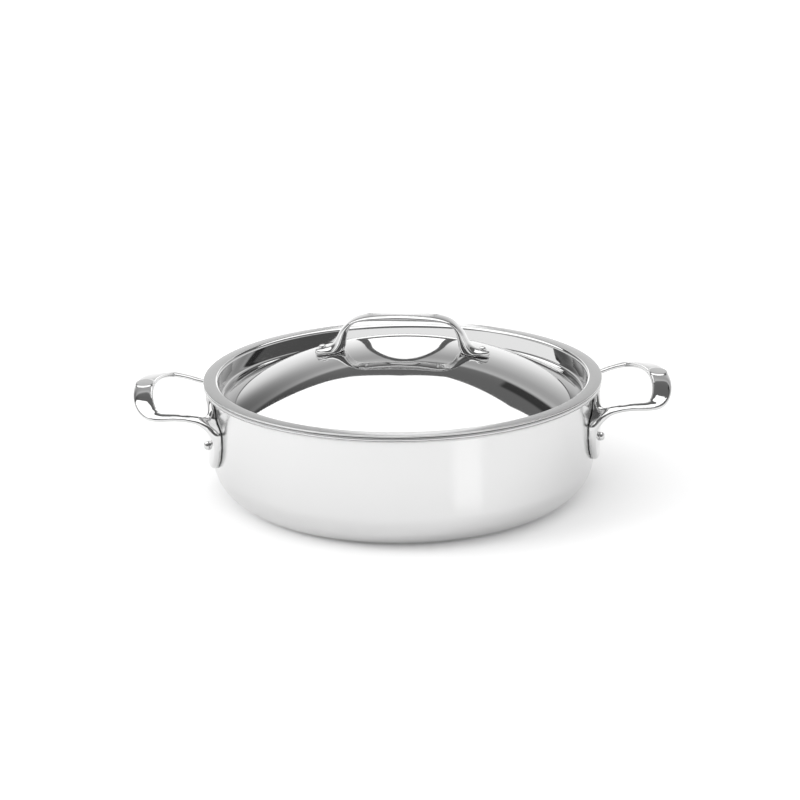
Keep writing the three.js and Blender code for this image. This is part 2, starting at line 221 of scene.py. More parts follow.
def hand_polish_group():
    """Slow swell and fine scuffs of a wheel-polished casting."""
    tree, entry, leave = new_group(
        "Hand polish",
        "ShaderNodeTree",
        {"Swell size": (FLOAT, 60.0), "Scuffs": (FLOAT, 900.0)},
        {"Swell": FLOAT, "Scuff": FLOAT, "Height": FLOAT},
    )
    spot = place(tree, "ShaderNodeTexCoord").outputs["Object"]
    split = place(tree, "ShaderNodeSeparateXYZ", {0: spot})
    swell = place(tree, "ShaderNodeTexNoise", {
        "Vector": spot, "Scale": entry.outputs["Swell size"], "Detail": SWELL_DETAIL,
    })
    strokes = []
    for turn in SCUFF_TURNS:
        laid = place(tree, "ShaderNodeMapping", {
            "Vector": spot, "Rotation": (turn, SCUFF_LEAN, turn), "Scale": SCUFF_STRETCH,
        })
        stroke = place(tree, "ShaderNodeTexNoise", {
            "Vector": laid.outputs[0], "Scale": entry.outputs["Scuffs"],
        })
        strokes.append(stroke.outputs[0])
    feed(tree, leave.inputs["Swell"], swell.outputs[0])
    feed(tree, leave.inputs["Scuff"], reckon(tree, "MULTIPLY", *strokes))
    feed(tree, leave.inputs["Height"], split.outputs[2])
    return tree


HAND_POLISH = hand_polish_group()
print("group:", HAND_POLISH.name)

# %% [markdown]
# ## Finish: the metals
#
# All the metals are one Principled shader with full Metallic. What sets them apart is how
# blurred their mirror is. A Map Range turns a mask from a group into a roughness, and a
# Bump node lets the same mask tilt the surface a little. Two places are duller than the
# rest of their piece: the outermost rim of the lid, which is only brushed, and the top of
# the arch, which hands have worn.

# %% Metal materials
MASK_RANGE = (0.25, 0.75)
DEEP_TONE = 0.97
RIM_SATIN = (118.4 * MM, 119.6 * MM, 0.2)
GRIP_SATIN = (111.0 * MM, 112.4 * MM, 0.24)
SHEET_MASKS = ("Grain", "Cloud")
CAST_MASKS = ("Scuff", "Swell")


def steel(name, grey, group, values, masks, roughness, bump):
    """A bright metal whose roughness and relief follow a group's masks."""
    material = bpy.data.materials.new(name)
    material.use_nodes = True
    tree = material.node_tree
    shader = tree.nodes["Principled BSDF"]
    shader.inputs["Metallic"].default_value = 1.0
    marks = place(tree, "ShaderNodeGroup", node_tree=group)
    for label, value in values.items():
        marks.inputs[label].default_value = value
    fine, broad = (marks.outputs[mask] for mask in masks)
    blur = place(tree, "ShaderNodeMapRange", {
        "Value": fine,
        "From Min": MASK_RANGE[0],
        "From Max": MASK_RANGE[1],
        "To Min": roughness[0],
        "To Max": roughness[1],
    })
    feed(tree, shader.inputs["Roughness"], blur.outputs[0])
    deep = grey * DEEP_TONE
    tone = place(tree, "ShaderNodeMix", {
        "Factor": broad, "A": (deep, deep, deep, 1.0), "B": (grey, grey, grey, 1.0),
    }, data_type="RGBA")
    feed(tree, shader.inputs["Base Color"], tone.outputs["Result"])
    relief = place(tree, "ShaderNodeBump", {
        "Strength": bump[0], "Distance": bump[1], "Height": broad if bump[2] == "broad" else fine,
    })
    feed(tree, shader.inputs["Normal"], relief.outputs[0])
    return material


def satin(material, across, start, end, roughness):
    """Blurs a mirror smoothly past a radius or a height."""
    tree = material.node_tree
    shader = tree.nodes["Principled BSDF"]
    marks = next(node for node in tree.nodes if node.bl_idname == "ShaderNodeGroup")
    polish = shader.inputs["Roughness"].links[0].from_socket
    worn = fade(tree, marks.outputs[across], start, end, 0.0, roughness)
    feed(tree, shader.inputs["Roughness"], reckon(tree, "MAXIMUM", polish, worn))


OUTER_STEEL = steel(
    "outer_steel", 0.66, SPUN_GRAIN, {"Lines": 5000.0, "Cloud size": 18.0},
    SHEET_MASKS, (0.17, 0.24), (0.04, 0.02 * MM, "fine"),
)
INNER_STEEL = steel(
    "inner_steel", 0.60, SPUN_GRAIN, {"Lines": 2600.0, "Cloud size": 24.0},
    SHEET_MASKS, (0.28, 0.38), (0.05, 0.03 * MM, "fine"),
)
CORE_ALUMINIUM = steel(
    "core_aluminium", 0.73, SPUN_GRAIN, {"Lines": 6000.0, "Cloud size": 40.0},
    SHEET_MASKS, (0.30, 0.45), (0.2, 0.03 * MM, "fine"),
)
LID_STEEL = steel(
    "lid_steel", 0.64, SPUN_GRAIN, {"Lines": 7000.0, "Cloud size": 12.0},
    SHEET_MASKS, (0.02, 0.06), (0.02, 0.02 * MM, "fine"),
)
CAST_FINISH = (
    0.64, HAND_POLISH, {"Swell size": 70.0, "Scuffs": 900.0},
    CAST_MASKS, (0.03, 0.07), (0.25, 0.6 * MM, "broad"),
)
CAST_STEEL = steel("cast_steel", *CAST_FINISH)
ARCH_STEEL = steel("arch_steel", *CAST_FINISH)
RIVET_STEEL = steel(
    "rivet_steel", 0.64, HAND_POLISH, {"Swell size": 160.0, "Scuffs": 1600.0},
    CAST_MASKS, (0.06, 0.12), (0.2, 0.3 * MM, "broad"),
)
satin(LID_STEEL, "Radius", *RIM_SATIN)
satin(ARCH_STEEL, "Height", *GRIP_SATIN)
print("sheet metals:", OUTER_STEEL.name, INNER_STEEL.name, CORE_ALUMINIUM.name, LID_STEEL.name)
print("cast metals:", CAST_STEEL.name, ARCH_STEEL.name, RIVET_STEEL.name)

# %% [markdown]
# ## Turning a profile
#
# Pan, lid and rivets are all round, so one Geometry Nodes tree makes them: a grid whose
# rows read the points of a drawn profile and whose columns are the angles of the turn. The
# Spin tool or a Screw modifier would do the same once, but the tree can be used again with
# other profiles, and the rivets nest it. The profile runs from the axis along the upper
# face to the edge, then back along the lower face, so that the faces point outwards.

# %% Turning tree
WELD = 0.004 * MM


def turning_tree():
    """Geometry Nodes tree that turns a drawn profile round +Z."""
    tree, entry, leave = new_group(
        "Turned sheet",
        "GeometryNodeTree",
        {
            "Profile": ("NodeSocketGeometry", None),
            "Flats": ("NodeSocketInt", 192),
            "Finish": ("NodeSocketMaterial", None),
        },
        {"Turned": "NodeSocketGeometry"},
    )
    tree.is_modifier = True
    count = place(tree, "GeometryNodeAttributeDomainSize", {
        0: entry.outputs["Profile"],
    }, component="MESH")
    columns = reckon(tree, "ADD", entry.outputs["Flats"], 1.0)
    grid = place(tree, "GeometryNodeMeshGrid", {
        "Vertices X": count.outputs["Point Count"], "Vertices Y": columns,
    })
    index = place(tree, "GeometryNodeInputIndex").outputs[0]
    share = reckon(tree, "DIVIDE", reckon(tree, "ADD", index, 0.5), columns)
    row = reckon(tree, "FLOOR", share)
    column = reckon(tree, "SUBTRACT", index, reckon(tree, "MULTIPLY", row, columns))
    drawn = place(tree, "GeometryNodeSampleIndex", {
        "Geometry": entry.outputs["Profile"],
        "Value": place(tree, "GeometryNodeInputPosition").outputs[0],
        "Index": row,
    }, data_type="FLOAT_VECTOR")
    split = place(tree, "ShaderNodeSeparateXYZ", {0: drawn.outputs[0]})
    radius = split.outputs[0]
    step = reckon(tree, "DIVIDE", 2 * math.pi, entry.outputs["Flats"])
    angle = reckon(tree, "MULTIPLY", column, step)
    point = place(tree, "ShaderNodeCombineXYZ", {
        0: reckon(tree, "MULTIPLY", radius, reckon(tree, "COSINE", angle)),
        1: reckon(tree, "MULTIPLY", radius, reckon(tree, "SINE", angle)),
        2: split.outputs[2],
    })
    bent = place(tree, "GeometryNodeSetPosition", {
        "Geometry": grid.outputs[0], "Position": point.outputs[0],
    })
    closed = place(tree, "GeometryNodeMergeByDistance", {
        "Geometry": bent.outputs[0], "Distance": WELD,
    })
    smooth = place(tree, "GeometryNodeSetShadeSmooth", {"Geometry": closed.outputs[0]})
    finish = place(tree, "GeometryNodeSetMaterial", {
        "Geometry": smooth.outputs[0], "Material": entry.outputs["Finish"],
    })
    feed(tree, leave.inputs["Turned"], finish.outputs[0])
    return tree


TURNING = turning_tree()
print("tree:", TURNING.name, len(TURNING.nodes), "nodes")

# %% Piece makers


def socket_id(tree, label):
    """Identifier of a tree's input, which is what a modifier is set by."""
    return next(
        item.identifier for item in tree.interface.items_tree
        if item.item_type == "SOCKET" and item.in_out == "INPUT" and item.name == label
    )


def settle(piece):
    """Turns a piece's evaluated shape into a plain mesh and drops its modifiers."""
    bpy.context.view_layer.update()
    shaped = piece.evaluated_get(bpy.context.evaluated_depsgraph_get())
    mesh = bpy.data.meshes.new_from_object(shaped)
    piece.modifiers.clear()
    piece.data = mesh
    mesh.name = piece.name
    return piece


def new_piece(name, points, edges, faces):
    """A mesh object at the origin."""
    mesh = bpy.data.meshes.new(name)
    mesh.from_pydata([tuple(p) for p in points], edges, faces)
    piece = bpy.data.objects.new(name, mesh)
    bpy.context.scene.collection.objects.link(piece)
    return piece


def drawn_line(name, profile):
    """A profile of (radius, height) points as a mesh of edges."""
    edges = [(i, i + 1) for i in range(len(profile) - 1)]
    return new_piece(name, [(r, 0.0, z) for r, z in profile], edges, [])


def turned(name, profile, flats, finish):
    """A round piece from a profile."""
    piece = drawn_line(name, profile)
    turning = piece.modifiers.new("Turning", "NODES")
    turning.node_group = TURNING
    turning[socket_id(TURNING, "Flats")] = flats
    turning[socket_id(TURNING, "Finish")] = finish
    return settle(piece)


print("makers ready")

# %% [markdown]
# ## The bonded sheet
#
# The three layers are drawn as one profile at different depths below the outer face: a
# flat base, a rounded corner, a straight wall and a short flared lip. Each layer is its own
# closed piece, so the lip shows the aluminium as a thin line between two steel edges, as on
# the real pan.

# %% Sizes of the sheet
SHEET_FLATS = 256
WALL_RADIUS = 122.6 * MM
CORNER_RADIUS = 22 * MM
FLARE_RADIUS = 3 * MM
LIP_ROUND = 0.45 * MM
CORE_SINK = 0.12 * MM
BASE_STEPS = 8
CORNER_STEPS = 24
FLARE_STEPS = 14
LIP_STEPS = 6
lip_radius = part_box("outer_skin")[1].x
pan_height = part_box("inner_skin")[1].z
core_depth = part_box("aluminium_core")[0].z
inner_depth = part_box("inner_skin")[0].z
sheet = inner_depth + core_depth
print("sheet in mm:", round(sheet / MM, 2), "lip radius in mm:", round(lip_radius / MM, 2))

# %% Pan layers


def arc(centre, radius, start, end, steps):
    """Points of an arc in a profile, angles in degrees, both ends included."""
    turns = [math.radians(start + (end - start) * i / steps) for i in range(steps + 1)]
    return [(centre[0] + radius * math.cos(t), centre[1] + radius * math.sin(t)) for t in turns]


def sheet_line(depth, edge_radius):
    """Line through the sheet at a depth below its outer face, from the axis to the lip."""
    flare = (WALL_RADIUS + FLARE_RADIUS, pan_height - sheet - FLARE_RADIUS)
    corner = (WALL_RADIUS - CORNER_RADIUS, CORNER_RADIUS)
    reach = FLARE_RADIUS + depth
    return [
        *[(corner[0] * i / BASE_STEPS, depth) for i in range(BASE_STEPS)],
        *arc(corner, CORNER_RADIUS - depth, -90, 0, CORNER_STEPS),
        *arc(flare, reach, 180, 90, FLARE_STEPS),
        (edge_radius, flare[1] + reach),
    ]


def layer_profile(outer, inner, edge_radius, round_top, round_bottom):
    """Closed profile of one layer, inner face first."""
    upper = sheet_line(inner, edge_radius - (LIP_ROUND if round_top else 0))
    lower = sheet_line(outer, edge_radius - (LIP_ROUND if round_bottom else 0))
    edge = []
    if round_top:
        centre = (edge_radius - LIP_ROUND, upper[-1][1] - LIP_ROUND)
        edge += arc(centre, LIP_ROUND, 90, 0, LIP_STEPS)[1:]
    if round_bottom:
        centre = (edge_radius - LIP_ROUND, lower[-1][1] + LIP_ROUND)
        edge += arc(centre, LIP_ROUND, 0, -90, LIP_STEPS)[:-1]
    return [*upper, *edge, *reversed(lower)]


outer_profile = layer_profile(0, core_depth, lip_radius, False, True)
core_profile = layer_profile(core_depth, inner_depth, lip_radius - CORE_SINK, False, False)
inner_profile = layer_profile(inner_depth, sheet, lip_radius, True, False)
for name, profile, finish, node, slot in (
    ("pan_outer_skin", outer_profile, OUTER_STEEL, "outer_skin", "outer_steel"),
    ("pan_core", core_profile, CORE_ALUMINIUM, "aluminium_core", "core_aluminium"),
    ("pan_inner_skin", inner_profile, INNER_STEEL, "inner_skin", "inner_steel"),
):
    layer = turned(name, profile, SHEET_FLATS, finish)
    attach(layer, "pan")
    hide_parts(node)
    print(layer.name, len(layer.data.polygons), "faces")

# %% [markdown]
# ## The lid
#
# The lid is one pressed sheet: a flat rim that lies on the lip, a wall that drops into the
# pan, a tight groove, and a dome that swells back up above the rim. The dome's rule is a
# power curve, flat on top and steep at its foot. The rim ends in a full round, because the
# pressed edge is rolled and buffed.

# %% Lid shell
LID_SHEET = 1.0 * MM
RECESS_RADIUS = 117.4 * MM
RECESS_DEPTH = 13.6 * MM
RIM_ROUND = 2.2 * MM
GROOVE_ROUND = 3.0 * MM
DOME_RADIUS = 111.5 * MM
DOME_FOOT_DEPTH = 12.0 * MM
DOME_FULLNESS = 2.1
DOME_STEPS = 64
BEND_STEPS = 12
ROLL_STEPS = 10
LID_TURN = math.radians(-7.5)
lid_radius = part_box("lid_shell")[1].x
lid_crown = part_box("lid_shell")[1].z
lid_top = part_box("lid_shell")[0].z + RECESS_DEPTH + LID_SHEET
dome_rise = lid_crown - lid_top + DOME_FOOT_DEPTH


def dome_height(radius):
    """Height of the dome's upper face at a radius."""
    return lid_crown - dome_rise * (radius / DOME_RADIUS) ** DOME_FULLNESS


def lid_line(depth):
    """Face of the lid sheet from the crown out to the rim; depth 0 is the upper face."""
    radii = [DOME_RADIUS * i / DOME_STEPS for i in range(DOME_STEPS + 1)]
    groove = (RECESS_RADIUS - GROOVE_ROUND, lid_top - RECESS_DEPTH + GROOVE_ROUND)
    rim = (RECESS_RADIUS + RIM_ROUND, lid_top - RIM_ROUND)
    return [
        *[(r, dome_height(r) - depth) for r in radii],
        *arc(groove, GROOVE_ROUND + depth, -90, 0, BEND_STEPS),
        *arc(rim, RIM_ROUND - depth, 180, 90, BEND_STEPS),
        (lid_radius - LID_SHEET / 2, lid_top - depth),
    ]


roll_centre = (lid_radius - LID_SHEET / 2, lid_top - LID_SHEET / 2)
rolled = arc(roll_centre, LID_SHEET / 2, 90, -90, ROLL_STEPS)
lid_profile = [*lid_line(0), *rolled[1:-1], *reversed(lid_line(LID_SHEET))]
lid = turned("lid", lid_profile, SHEET_FLATS, LID_STEEL)
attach(lid, "lid")
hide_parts("lid_shell")
print(lid.name, len(lid.data.polygons), "faces, rim at", round(lid_top / MM, 2), "mm")

# %% [markdown]
# ## Rivets
#
# Four rivets hold the loops and two hold the arch. A rivet is turned from its own small
# profile and set on points that carry an outward direction, so a second tree nests the
# first one, aligns each copy to that direction and makes the copies real.

# %% Rivet tree


def rivet_tree():
    """Geometry Nodes tree that sets turned rivets on points, along their outward direction."""
    tree, entry, leave = new_group(
        "Rivets",
        "GeometryNodeTree",
        {
            "Seats": ("NodeSocketGeometry", None),
            "Profile": ("NodeSocketObject", None),
            "Flats": ("NodeSocketInt", 48),
            "Finish": ("NodeSocketMaterial", None),
        },
        {"Rivets": "NodeSocketGeometry"},
    )
    tree.is_modifier = True
    drawn = place(tree, "GeometryNodeObjectInfo", {"Object": entry.outputs["Profile"]})
    rivet = place(tree, "GeometryNodeGroup", {
        "Profile": drawn.outputs["Geometry"], "Flats": entry.outputs["Flats"],
    }, node_tree=TURNING)
    outward = place(tree, "GeometryNodeInputNamedAttribute", {
        "Name": "outward",
    }, data_type="FLOAT_VECTOR")
    turn = place(tree, "FunctionNodeAlignRotationToVector", {
        "Vector": outward.outputs[0],
    }, axis="Z")
    set_on = place(tree, "GeometryNodeInstanceOnPoints", {
        "Points": entry.outputs["Seats"], "Instance": rivet.outputs[0], "Rotation": turn.outputs[0],
    })
    real = place(tree, "GeometryNodeRealizeInstances", {0: set_on.outputs[0]})
    finish = place(tree, "GeometryNodeSetMaterial", {
        "Geometry": real.outputs[0], "Material": entry.outputs["Finish"],
    })
    feed(tree, leave.inputs["Rivets"], finish.outputs[0])
    return tree


RIVETS = rivet_tree()
print("tree:", RIVETS.name, len(RIVETS.nodes), "nodes")

# %% Rivet makers
RIVET_FLATS = 40
HEAD_STEPS = 10
HEAD_WIDTH_POWER = 0.7
HEAD_HEIGHT_POWER = 0.8


def head(radius, height, seat):
    """Half profile of a rivet head from its rim to its tip, squarer than a half ball."""
    turns = [math.pi / 2 * i / HEAD_STEPS for i in range(HEAD_STEPS + 1)]
    return [
        (radius * math.cos(t) ** HEAD_WIDTH_POWER, seat + height * math.sin(t) ** HEAD_HEIGHT_POWER)
        for t in turns
    ]


def rivet_profile(outer_seat, inner_seat, shank, outer_head, inner_head):
    """Profile of a rivet from the tip of its outer head to that of its inner head."""
    outside = head(*outer_head, outer_seat)
    inside = head(inner_head[0], -inner_head[1], inner_seat)
    outside[-1] = (0.0, outside[-1][1])
    inside[-1] = (0.0, inside[-1][1])
    return [*reversed(outside), (shank, outer_seat), (shank, inner_seat), *inside]


def riveted(name, seats, directions, profile):
    """Rivets on seats, one mesh for a body."""
    drawn = drawn_line(name + "_profile", profile)
    piece = new_piece(name, seats, [], [])
    outward = piece.data.attributes.new("outward", "FLOAT_VECTOR", "POINT")
    outward.data.foreach_set("vector", np.array(directions, np.float32).ravel())
    setting = piece.modifiers.new("Setting", "NODES")
    setting.node_group = RIVETS
    setting[socket_id(RIVETS, "Profile")] = drawn
    setting[socket_id(RIVETS, "Flats")] = RIVET_FLATS
    setting[socket_id(RIVETS, "Finish")] = RIVET_STEEL
    settle(piece)
    bpy.data.objects.remove(drawn)
    print(name, len(piece.data.polygons), "faces")
    return piece


# %% Handle rivets
RIVET_ANGLE = math.radians(14)
RIVET_HEIGHT = 38.3 * MM
PAD_FACE = 126.95 * MM
WALL_INSIDE = 119.9 * MM
HANDLE_SHANK = 1.6 * MM
HANDLE_HEAD = (2.8 * MM, 3.0 * MM)
HANDLE_TAIL = (5.5 * MM, 1.8 * MM)
directions = [
    (side * math.cos(RIVET_ANGLE), end * math.sin(RIVET_ANGLE), 0.0)
    for side in (1, -1) for end in (-1, 1)
]
handle_rivets = riveted(
    "handle_rivets",
    [(0.0, 0.0, RIVET_HEIGHT)] * len(directions),
    directions,
    rivet_profile(PAD_FACE, WALL_INSIDE, HANDLE_SHANK, HANDLE_HEAD, HANDLE_TAIL),
)
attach(handle_rivets, "pan")
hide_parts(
    "right_handle_rivet_front", "right_handle_rivet_rear",
    "left_handle_rivet_front", "left_handle_rivet_rear",
)

# %% Lid rivets
LID_RIVET_REACH = 50.4 * MM
FOOT_THICKNESS = 4.4 * MM
TAIL_GAP = 0.1 * MM
LID_SHANK = 1.5 * MM
LID_HEAD = (2.4 * MM, 1.9 * MM)
LID_TAIL = (3.6 * MM, 1.1 * MM)
reach_share = LID_RIVET_REACH / DOME_RADIUS
slope = dome_rise / DOME_RADIUS * DOME_FULLNESS * reach_share ** (DOME_FULLNESS - 1)
foot_height = dome_height(LID_RIVET_REACH)
turn_lid = Matrix.Rotation(LID_TURN, 3, "Z")
lid_rivets = riveted(
    "lid_rivets",
    [turn_lid @ Vector((side * LID_RIVET_REACH, 0, foot_height)) for side in (1, -1)],
    [turn_lid @ Vector((side * slope, 0, 1)).normalized() for side in (1, -1)],
    rivet_profile(FOOT_THICKNESS, -LID_SHEET - TAIL_GAP, LID_SHANK, LID_HEAD, LID_TAIL),
)
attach(lid_rivets, "lid")
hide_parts("lid_rivet_right", "lid_rivet_left")

# %% [markdown]
# ## Smooth lines
#
# The loop and the arch both follow a centre line through a few measured points. Blender's
# curves could carry it, but the castings change their section along the way, so the line
# is sampled here and the sections are placed one by one.

# %% Sampled centre lines
FINE_STEPS = 40


def smooth_line(points, count):
    """Evenly spaced points and tangents of a centripetal curve through points."""
    p = np.array(points, float)
    p = np.vstack([2 * p[0] - p[1], p, 2 * p[-1] - p[-2]])
    t = np.linspace(0, 1, FINE_STEPS, endpoint=False)[:, None]
    fine = []
    for a, b, c, d in zip(p[:-3], p[1:-2], p[2:-1], p[3:]):
        gaps = [max(np.linalg.norm(v - u), 1e-9) ** 0.5 for u, v in ((a, b), (b, c), (c, d))]
        out = ((b - a) / gaps[0] - (c - a) / (gaps[0] + gaps[1]) + (c - b) / gaps[1]) * gaps[1]
        into = ((c - b) / gaps[1] - (d - b) / (gaps[1] + gaps[2]) + (d - c) / gaps[2]) * gaps[1]
        bend = 3 * (c - b) - 2 * out - into
        twist = 2 * (b - c) + out + into
        fine.append(b + out * t + bend * t**2 + twist * t**3)
    fine = np.vstack([*fine, p[-2][None]])
    run = np.concatenate([[0], np.cumsum(np.linalg.norm(np.diff(fine, axis=0), axis=1))])
    even = np.linspace(0, run[-1], count)
    line = np.stack([np.interp(even, run, column) for column in fine.T], 1)
    tangent = np.gradient(line, axis=0)
    return line, tangent / np.linalg.norm(tangent, axis=1, keepdims=True)


def ease(value, start, end):
    """Smooth step from 0 to 1."""
    t = np.clip((value - start) / (end - start), 0, 1)
    return t * t * (3 - 2 * t)


def between(pair, share):
    """Value a share of the way from the first of a pair to the second."""
    return pair[0] + (pair[1] - pair[0]) * share


def cross_axes(tangent):
    """Across and up directions of a section that stays level across."""
    up = np.array([0.0, 0.0, 1.0]) - tangent * tangent[:, 2:3]
    up /= np.linalg.norm(up, axis=1, keepdims=True)
    return np.cross(up, tangent), up


print("line tools ready")

# %% [markdown]
# ## The side handles
#
# Each handle is one casting: a saddle pad on the wall that melts into a looped strap. A
# Boolean would leave a hard line where they meet, and subdivided cages are slow to weave.
# So the casting is described as a distance field, in which a blend between two shapes is
# one formula, and a surface net then skins the field. Every net point is pulled onto the
# true surface, which a mirror finish needs. The sizes are in millimetres and degrees.

# %% Strap of the handle
ARM_LINE = (
    (113, 0, 47.5), (118, 0, 52), (122, 0, 55), (127.5, 0, 57.8), (134, 0.4, 59.4), (141, 2.6, 61),
)
ARM_SPACING = 81.0
LOOP_CENTRE = 151.3
LOOP_REACH = 164.8
LOOP_HALF_WIDTH = 46.0
LOOP_HEIGHTS = (62.4, 68.8)
LOOP_RIDGE = 1.9
LOOP_COUNT = 13
STRAP_COUNT = 260
STRAP_WIDTHS = (6.8, 13.2)
STRAP_THICKNESS = (3.0, 4.4)
STRAP_TILT = math.radians(12)
BAR_REACH = (141, 168)
ROOT_REACH = 119.0
ROOT_FADE = 7.0
ROOT_SWELL = (4.0, 3.0)


def strap_line():
    """Centre line of the strap, from the rear root round to the front one."""
    arm = [(x, ARM_SPACING / 2 + swing, z) for x, swing, z in ARM_LINE]
    loop = []
    for turn in np.linspace(math.pi / 2, -math.pi / 2, LOOP_COUNT):
        x = LOOP_CENTRE + (LOOP_REACH - LOOP_CENTRE) * math.cos(turn)
        rise = 1 - abs(math.sin(turn)) ** LOOP_RIDGE
        loop.append((x, LOOP_HALF_WIDTH * math.sin(turn), between(LOOP_HEIGHTS, rise)))
    return smooth_line([*arm, *loop, *[(x, -y, z) for x, y, z in reversed(arm)]], STRAP_COUNT)


STRAP_LINE, STRAP_TANGENT = strap_line()
bar_share = ease(STRAP_LINE[:, 0], *BAR_REACH)
root_share = np.exp(-(np.maximum(STRAP_LINE[:, 0] - ROOT_REACH, 0) / ROOT_FADE) ** 2)
level_across, level_up = cross_axes(STRAP_TANGENT)
tilt = (STRAP_TILT * (1 - bar_share))[:, None]
STRAP_ACROSS = level_across * np.cos(tilt) - level_up * np.sin(tilt)
STRAP_UP = level_up * np.cos(tilt) + level_across * np.sin(tilt)
STRAP_HALVES = np.stack([
    between(sizes, bar_share) + swell * root_share
    for sizes, swell in zip((STRAP_WIDTHS, STRAP_THICKNESS), ROOT_SWELL)
], 1) / 2
strap_steps = np.linalg.norm(np.diff(STRAP_LINE, axis=0), axis=1)
print("strap length in mm:", round(float(strap_steps.sum()), 1))

# %% Strap field
STRAP_POWER = 2.8
STRAP_BLOCK = 20000
LEAST_SLOPE = 0.15


def strap_field(p):
    """Distance from the looped strap."""
    nearest = np.empty(len(p), int)
    for start in range(0, len(p), STRAP_BLOCK):
        block = p[start:start + STRAP_BLOCK]
        apart = ((block[:, None, :] - STRAP_LINE[None]) ** 2).sum(2)
        nearest[start:start + STRAP_BLOCK] = apart.argmin(1)
    spacing = np.linalg.norm(STRAP_LINE[1] - STRAP_LINE[0])
    along = ((p - STRAP_LINE[nearest]) * STRAP_TANGENT[nearest]).sum(1) / spacing
    station = np.clip(nearest + along, 0, len(STRAP_LINE) - 1)
    low = np.minimum(station.astype(int), len(STRAP_LINE) - 2)
    share = (station - low)[:, None]
    line, across, up, halves = (
        values[low] * (1 - share) + values[low + 1] * share
        for values in (STRAP_LINE, STRAP_ACROSS, STRAP_UP, STRAP_HALVES)
    )
    off = p - line
    wide = np.abs((off * across).sum(1)) / halves[:, 0]
    tall = np.abs((off * up).sum(1)) / halves[:, 1]
    total = np.maximum(wide**STRAP_POWER + tall**STRAP_POWER, 1e-9)
    pull = np.hypot(wide ** (STRAP_POWER - 1) / halves[:, 0], tall ** (STRAP_POWER - 1) / halves[:, 1])
    steep = np.maximum(pull * total ** (1 / STRAP_POWER - 1), LEAST_SLOPE)
    return (total ** (1 / STRAP_POWER) - 1) / steep


print("strap halves at the bar in mm:", STRAP_HALVES[STRAP_COUNT // 2].round(2).tolist())

# %% Pad, thumb rest and whole handle
WALL_FACE = 122.9
PAD_HEIGHTS = (22.3, 67.0)
PAD_HALF_ANGLES = (22.5, 17.0)
PAD_SHOULDER = (50.0, 58.0)
PAD_BOTTOM_CORNER = (11.0, 21.7)
PAD_TOP_CORNER = (6.0, 7.0)
PAD_THICKNESS = (3.6, 4.6)
PAD_LEAN = 10.0
PAD_LEAN_LIMIT = 0.97
PAD_EDGE = 2.4
REST_HALVES = (6.0, 8.2)
REST_HEIGHTS = (68.5, 71.3)
REST_EDGE = 0.5
REST_BLEND = 0.8
ROOT_BLEND = 5.0
PAD_MIDDLE = (125.0, 0.0, 40.0)


def rounded(flat, side, radius):
    """Distance from the solid that two distances bound, with a rounded edge between them."""
    a = flat + radius
    b = side + radius
    return np.minimum(np.maximum(a, b), 0) + np.hypot(np.maximum(a, 0), np.maximum(b, 0)) - radius


def melted(one, other, blend):
    """Distance from two solids that melt into each other over a blend length."""
    near = np.clip(0.5 + 0.5 * (one - other) / blend, 0, 1)
    return one * (1 - near) + other * near - blend * near * (1 - near)


def pad_field(p):
    """Distance from the saddle pad: a broad tongue below and a narrower lobe above."""
    out = np.hypot(p[:, 0], p[:, 1])
    side = np.abs(np.arctan2(p[:, 1], p[:, 0])) * WALL_FACE
    height = p[:, 2]
    bottom, top = PAD_HEIGHTS
    mm_per_degree = math.radians(1) * WALL_FACE
    half = between(PAD_HALF_ANGLES, ease(height, *PAD_SHOULDER)) * mm_per_degree
    outline = np.maximum.reduce([side - half, bottom - height, height - top])
    ends = ((PAD_BOTTOM_CORNER, bottom - height), (PAD_TOP_CORNER, height - top))
    for (angle, rise), past in ends:
        run = angle * mm_per_degree
        u = (side - half + run) / run
        v = (past + rise) / rise
        level = np.hypot(u, v)
        steep = np.maximum(np.hypot(u / run, v / rise) / np.maximum(level, 1e-6), 1e-3)
        outline = np.where((u > 0) & (v > 0), (level - 1) / steep, outline)
    lean = np.clip((height - top + PAD_LEAN) / PAD_LEAN, 0, PAD_LEAN_LIMIT)
    full = between(PAD_THICKNESS, np.clip((height - bottom) / (top - bottom), 0, 1))
    return rounded(outline, out - WALL_FACE - full * np.sqrt(1 - lean**2), PAD_EDGE)


def rest_field(p):
    """Distance from the flat oval thumb rest on the bar."""
    low, high = REST_HEIGHTS
    oval = np.hypot((p[:, 0] - LOOP_REACH) / REST_HALVES[0], p[:, 1] / REST_HALVES[1]) - 1
    flat = np.abs(p[:, 2] - (low + high) / 2) - (high - low) / 2
    return rounded(oval * REST_HALVES[0], flat, REST_EDGE)


def handle_field(p):
    """Distance from the whole casting on +X."""
    loop = melted(strap_field(p), rest_field(p), REST_BLEND)
    body = melted(pad_field(p), loop, ROOT_BLEND)
    return np.maximum(body, WALL_FACE - np.hypot(p[:, 0], p[:, 1]))


print("field at the pad's middle in mm:", round(float(handle_field(np.array([PAD_MIDDLE]))[0]), 2))

# %% Surface net
NEAR_STEPS = 5
CELL_CORNERS = [(i, j, k) for i in (0, 1) for j in (0, 1) for k in (0, 1)]


def field_on_grid(field, low, high, step):
    """Field values on a grid, worked out finely only near the surface."""
    coarse_axes = [np.arange(a, b + 2 * step, 2 * step) for a, b in zip(low, high)]
    grid = np.stack(np.meshgrid(*coarse_axes, indexing="ij"), -1)
    coarse = field(grid.reshape(-1, 3)).reshape(grid.shape[:3])
    values = coarse.repeat(2, 0).repeat(2, 1).repeat(2, 2)
    axes = [a[0] + step * np.arange(2 * len(a)) for a in coarse_axes]
    fine = np.stack(np.meshgrid(*axes, indexing="ij"), -1)
    near = np.abs(values) < NEAR_STEPS * step
    values[near] = field(fine[near])
    return values, np.array([a[0] for a in axes])


